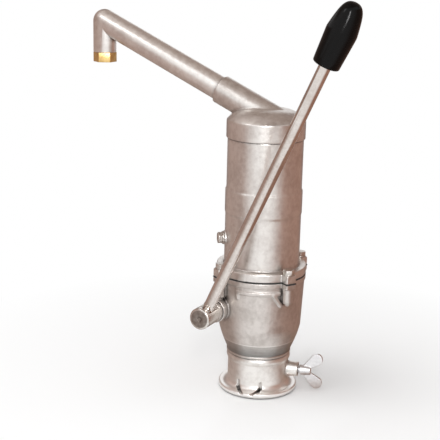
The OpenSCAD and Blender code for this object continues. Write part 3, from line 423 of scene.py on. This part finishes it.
# Cap: a cast lid that screws on the cylinder, over a rubber seal. Its socket leans out and
# takes the spout pipe.
soft_casting(merged_copy("cylinder_cap"), "cylinder_cap", zinc, grain=0.0007, rounds=5)
dress(rubber, "cap_gasket")

# Spout: a zinc-coated pipe, pressed into the socket, with a short elbow at its end and a
# brass hexagon nozzle in its mouth.
spout_zinc = cast_finish(
    "spout_zinc", (0.74, 0.70, 0.67), (0.86, 0.83, 0.80), rough=0.24, skin=0.0001
)
eased("spout_pipe", spout_zinc, width=0.0006, steps=3)
eased("nozzle_ring", brass, width=0.0005)

# Vent plug: a small plated steel plug with a hexagon head. It is screwed into the boss at the
# back of the cylinder, on a washer.
eased("vent_plug", steel, width=0.0004)
eased("vent_washer", steel, width=0.0002)

# Shaft: a plated steel shaft in two bronze bushes, sealed by a gland. Its head is turned,
# with a chamfer round its face, and a pin in it holds the lever's rod.
bronze, place = new_finish("bronze")
pores = noise(place, 0.0007, detail=3.0, rough=0.6)
shade(
    bronze,
    Base_Color=ramp(pores, (0.35, (0.36, 0.22, 0.10)), (0.6, (0.62, 0.42, 0.22))),
    Metallic=1.0,
    Roughness=0.34 + pores * 0.2,
    Normal=bump(pores, 0.0001),
)
dress(bronze, "front_bush", "rear_bush")
dress(rubber, "gland_packing")
eased("gland_nut", steel, width=0.0008, steps=3)
head_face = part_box("crank_shaft")[0][1]
head_rim = head_face + 0.0012
pivot = joints["lever_swing"]["pos_m"]
face_radius = 0.0088
face_fade = 0.0003
head_steel, place = new_finish("head_steel")
scale = noise(place, 0.0035, detail=3.0, rough=0.6)
from_middle = {0: place, 1: (pivot[0], head_face, pivot[2])}
off = place.add("ShaderNodeVectorMath", {"operation": "DISTANCE"}, from_middle, "Value")
# The head's face inside the chamfer is painted dark, a painted reflection of dark surroundings, and
# is made rougher.
face_shade_mask = band(off, face_radius + face_fade, face_radius - face_fade)
turned_tone = ramp(scale, (0.3, (0.62, 0.58, 0.54)), (0.7, (0.78, 0.75, 0.72)))
face_shade_tone = ramp(scale, (0.3, (0.20, 0.165, 0.145)), (0.7, (0.33, 0.29, 0.26)))
shade(
    head_steel,
    Base_Color=mixed(face_shade_mask, turned_tone, face_shade_tone),
    Metallic=1.0,
    Roughness=0.18 + scale * 0.1 + face_shade_mask * 0.2,
    Normal=bump(scale, 0.0001),
)
eased("crank_shaft", head_steel, width=0.0005, chosen=lambda spot: spot.y < head_rim)
dress(head_steel, "rod_pin")

# Lever: a polished steel rod, pinned in the shaft's head, and a grip of black plastic
# moulded round its upper end.
rod_steel, place = new_finish("rod_steel")
drawn = noise(place, 0.003, detail=3.0, rough=0.6)
haze = noise(place, 0.02, detail=3.0)
rod_tone = ramp(drawn * 0.5 + haze * 0.5, (0.35, (0.60, 0.54, 0.50)), (0.65, (0.78, 0.73, 0.69)))
shade(
    rod_steel,
    Base_Color=rod_tone,
    Metallic=1.0,
    Roughness=0.06 + drawn * 0.06,
    Normal=bump(drawn, 0.00006),
)
eased("lever_rod", rod_steel, width=0.0005)

black, place = new_finish("black_grip")
waves = noise(place, 0.011)
fine = noise(place, 0.0008)
shade(
    black,
    Base_Color=ramp(fine, (0.3, (0.002, 0.0018, 0.0018)), (0.7, (0.004, 0.0035, 0.0035))),
    Roughness=0.12 + fine * 0.06,
    Specular_IOR_Level=0.14,
    Normal=bump(waves * 0.8 + fine * 0.05, 0.0002),
)
rod_lean = math.radians(24.3)
grip_start = 0.276
grip_steps = 40
bore = 0.0058
bore_depth = 0.041
lower_rim = 0.001
ridge = (0.0144, 0.032)
grip_crease = 0.8
grip_outline = [(0, bore_depth), (bore, bore_depth), (bore, 0.0), (0.0118, 0.0), (0.0126, 0.0008)]
grip_outline += [ridge, (0.0137, 0.0365), (0.0128, 0.0415), (0.0117, 0.047), (0.0103, 0.052)]
grip_outline += [(0.0083, 0.056), (0.0055, 0.0586), (0.0026, 0.0594), (0, 0.0595)]
grip = bmesh.new()
corners = [grip.verts.new((reach, 0, height)) for reach, height in grip_outline]
sides = [grip.edges.new(pair) for pair in zip(corners, corners[1:])]
bmesh.ops.spin(
    grip,
    geom=corners + sides,
    axis=(0, 0, 1),
    cent=(0, 0, 0),
    angle=math.tau,
    steps=grip_steps,
    use_merge=True,
)
bmesh.ops.remove_doubles(grip, verts=grip.verts, dist=1e-6)
bmesh.ops.recalc_face_normals(grip, faces=grip.faces)
crease = grip.edges.layers.float.new("crease_edge")
for edge in grip.edges:
    start, end = [(v.co.xy.length, v.co.z) for v in edge.verts]
    flat = abs(start[1] - end[1]) < 1e-6
    if flat and (start[1] < lower_rim or math.dist(start, ridge) < 1e-4):
        edge[crease] = grip_crease
rod_low, rod_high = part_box("lever_rod")
rod_line = Matrix.Translation((pivot[0], (rod_low[1] + rod_high[1]) / 2, pivot[2]))
rod_line = rod_line @ Matrix.Rotation(rod_lean, 4, "Y")
grip.transform(rod_line @ Matrix.Translation((0, 0, grip_start)))
moulded = piece("lever_grip_moulded", grip, "lever_grip", black, sharp=60)
rounded = moulded.modifiers.new("soften", "SUBSURF")
rounded.levels = 2
rounded.render_levels = 2

# Rocker drive, inside the casing: a cast arm pinned on the shaft, whose roller works in the
# slotted yoke of the piston rod.
dress(zinc, "rocker_arm")
dress(steel, "arm_pin", "roller_pin", "roller_clip", "roller", "piston_rod")

# Piston and valves, inside the cylinder: brass and steel plates with a rubber cup seal, held
# on the rod by a nut. The valves are plain discs that lift off their seats.
own_finish = {
    "cast_zinc": zinc,
    "plated_steel": steel,
    "brass": brass,
    "bronze": bronze,
    "black_rubber": rubber,
}
inner = ["piston_body", "piston_cup", "cup_plate", "cup_screws", "valve_sleeve", "valve_stop"]
inner += ["piston_nut", "piston_valve", "valve_seat", "suction_valve", "stem_clip"]
for name in inner:
    dress(own_finish[slot_of[name]], name)

# Suction tube, below the adapter: three zinc-coated tubes that slide in one another, with a
# collar and a rubber ring at each joint and a strainer at the bottom.
tube_zinc = cast_finish(
    "tube_steel", (0.46, 0.46, 0.46), (0.62, 0.62, 0.62), rough=0.3, skin=0.00015
)
dress(tube_zinc, "suction_tube", "suction_collar", "middle_tube", "middle_collar", "inner_tube")
dress(rubber, "suction_grip_ring", "middle_grip_ring")
dress(own_finish[slot_of["strainer"]], "strainer")

# Floor: a pale surface that the adapter's flange stands on, with a hole for the thread and the
# tube. Away from the pump it is as white as the background.
floor_reach = 14.0
floor_hole = 0.031
floor_drop = 0.0004
floor_steps = 96
pale_reach = 0.1
white_reach = 0.4
floor = bmesh.new()
rim = [floor.verts.new((reach, 0, -floor_drop)) for reach in (floor_hole, floor_reach)]
floor.edges.new(rim)
bmesh.ops.spin(
    floor,
    geom=rim + floor.edges[:],
    axis=(0, 0, 1),
    cent=(0, 0, 0),
    angle=math.tau,
    steps=floor_steps,
    use_merge=True,
)
bmesh.ops.recalc_face_normals(floor, faces=floor.faces)
floor_mesh = bpy.data.meshes.new("floor")
floor.to_mesh(floor_mesh)
floor.free()
floor_object = bpy.data.objects.new("floor", floor_mesh)
bpy.context.scene.collection.objects.link(floor_object)


def seen_directly(tree):
    """1 for rays from the camera and for those that metal or glass throws on."""
    rays = tree.nodes.new("ShaderNodeLightPath").outputs
    camera_ray = Wire(tree, rays["Is Camera Ray"])
    glossy_ray = Wire(tree, rays["Is Glossy Ray"])
    clear_ray = Wire(tree, rays["Is Transmission Ray"])
    total = camera_ray + glossy_ray + clear_ray
    return total.math("MINIMUM", total, 1.0)


pale, place = new_finish("pale_floor")
shade(pale, Base_Color=(0.9, 0.9, 0.9, 1.0), Roughness=0.8)
reach = place.add("ShaderNodeVectorMath", {"operation": "LENGTH"}, {0: place}, "Value")
far = band(reach, pale_reach, white_reach) * seen_directly(pale.node_tree)
glow = place.add("ShaderNodeEmission", {}, {"Color": (1, 1, 1, 1), "Strength": 1.0})
shader = Wire(pale.node_tree, pale.node_tree.nodes["Principled BSDF"].outputs[0])
surface = place.add("ShaderNodeMixShader", {}, {0: far, 1: shader, 2: glow})
output = pale.node_tree.nodes["Material Output"]
pale.node_tree.links.new(surface.socket, output.inputs["Surface"])
floor_mesh.materials.append(pale)

# Camera: about a metre from the pump and 25 degrees to the right of the lever's side,
# looking down a little. It leans, so that the cylinder leans to the right.
camera_turn = math.radians(25)
camera_reach = 1.0017
camera_height = 0.4335
camera_yaw = math.radians(2.45)
camera_pitch = math.radians(14.5)
camera_roll = math.radians(1.4)
picture_width = 440
focus_in_pixels = 1035
up = Vector((0, 0, 1))
away = Vector((-math.sin(camera_turn), math.cos(camera_turn), 0))
aside = Vector((math.cos(camera_turn), math.sin(camera_turn), 0))
level = away * math.cos(camera_yaw) - aside * math.sin(camera_yaw)
look = level * math.cos(camera_pitch) - up * math.sin(camera_pitch)
right = aside * math.cos(camera_yaw) + away * math.sin(camera_yaw)
upright = right.cross(look)
right, upright = (
    right * math.cos(camera_roll) + upright * math.sin(camera_roll),
    upright * math.cos(camera_roll) - right * math.sin(camera_roll),
)
camera_data = bpy.data.cameras.new("camera")
camera_data.sensor_width = 36
camera_data.lens = camera_data.sensor_width * focus_in_pixels / picture_width
camera = bpy.data.objects.new("camera", camera_data)
camera_spot = Matrix.Translation(up * camera_height - away * camera_reach)
camera.matrix_world = camera_spot @ Matrix((right, upright, -look)).transposed().to_4x4()
bpy.context.scene.collection.objects.link(camera)
bpy.context.scene.camera = camera


# Studio: a tall soft lamp by the camera, a weaker one above, and brown screens round the
# pump that only the metal sees, so that its round forms darken towards their edges.
def soft_lamp(name, place, aim, width, height, power):
    data = bpy.data.lights.new(name, "AREA")
    data.shape = "RECTANGLE"
    data.size = width
    data.size_y = height
    data.energy = power
    lamp = bpy.data.objects.new(name, data)
    lamp.location = place
    lamp.rotation_euler = (aim - place).to_track_quat("-Z", "Y").to_euler()
    bpy.context.scene.collection.objects.link(lamp)


key_place = -away * 1.5 + aside * 0.05 + up * 0.75
top_place = -away * 0.3 - aside * 0.9 + up * 1.6
soft_lamp("key_lamp", key_place, up * 0.35, width=0.16, height=0.7, power=9)
soft_lamp("top_lamp", top_place, up * 0.2, width=1.0, height=1.0, power=10)


def screen(name, foot, head, start, end, tone, fade=0):
    """A card that shows only in reflections. It is the sweep of a line from foot to head, each
    a reach and a height, between two turns from the camera, and fades to white at its start."""
    first = Matrix.Rotation(math.radians(start), 3, "Z") @ -away
    part = bmesh.new()
    ends = [part.verts.new(first * reach + up * height) for reach, height in (foot, head)]
    part.edges.new(ends)
    bmesh.ops.spin(
        part,
        geom=ends + part.edges[:],
        axis=(0, 0, 1),
        cent=(0, 0, 0),
        angle=math.radians(end - start),
        steps=48,
        use_merge=end - start == 360,
    )
    mesh = bpy.data.meshes.new(name)
    part.to_mesh(mesh)
    part.free()
    material, spot = new_finish(name)
    flat = spot.add("ShaderNodeMapping", {}, {"Vector": spot, "Scale": (1, 1, 0)})
    heading = spot.add("ShaderNodeVectorMath", {"operation": "NORMALIZE"}, {0: flat}, "Vector")
    compared = {0: heading, 1: -away}
    facing = spot.add("ShaderNodeVectorMath", {"operation": "DOT_PRODUCT"}, compared, "Value")
    white_side = math.cos(math.radians(abs(start)))
    toned_side = math.cos(math.radians(abs(start) + fade))
    sockets = {"Value": facing, "From Min": white_side + 0.001, "From Max": toned_side}
    share = spot.add("ShaderNodeMapRange", {"interpolation_type": "SMOOTHSTEP"}, sockets, "Result")
    shade(
        material,
        Base_Color=(0, 0, 0, 1),
        Roughness=1.0,
        Emission_Color=mixed(share, (1, 1, 1, 1), (*tone, 1)),
        Emission_Strength=1.0,
    )
    mesh.materials.append(material)
    made = bpy.data.objects.new(name, mesh)
    bpy.context.scene.collection.objects.link(made)
    made.visible_camera = False
    made.visible_diffuse = False
    made.visible_shadow = False


side = 0.42
rear = 0.6
roof = 1.0
ground = 0.001
near = 0.045
rear_brown = (0.24, 0.18, 0.16)
roof_brown = (0.34, 0.26, 0.22)
screen("right_screen", (side, 0.0), (side, 0.55), 15, 140, (0.37, 0.205, 0.15), fade=42)
screen("left_screen", (side, 0.0), (side, 0.33), -20, -140, (0.42, 0.30, 0.255), fade=44)
screen("left_high_screen", (side, 0.33), (side, 0.55), -50, -140, (0.34, 0.23, 0.19), fade=30)
screen("back_right_screen", (rear, 0.0), (rear, 0.9), 140, 162, rear_brown)
screen("back_left_screen", (rear, 0.0), (rear, 0.9), -140, -162, rear_brown)
screen("top_screen", (0.01, roof), (rear, roof), 0, 360, roof_brown)
screen("top_back_screen", (rear, roof), (1.2, roof), 60, 300, roof_brown, fade=40)
screen("right_near_floor", (near, ground), (0.12, ground), 22, 140, (0.28, 0.17, 0.12), fade=60)
screen("right_floor", (0.12, ground), (0.65, ground), 4, 140, (0.33, 0.19, 0.14), fade=32)
screen("left_floor", (near, ground), (rear, ground), -22, -140, (0.36, 0.27, 0.23), fade=55)
screen("back_floor", (near, ground), (rear, ground), 140, 220, (0.26, 0.19, 0.16))

world = bpy.data.worlds.new("studio")
world.use_nodes = True
bpy.context.scene.world = world
background = world.node_tree.nodes["Background"]
background.inputs["Color"].default_value = (1, 1, 1, 1)
ambient = 0.7
strength = seen_directly(world.node_tree) * (1 - ambient) + ambient
world.node_tree.links.new(strength.socket, background.inputs["Strength"])
bpy.context.scene.view_settings.view_transform = "Standard"
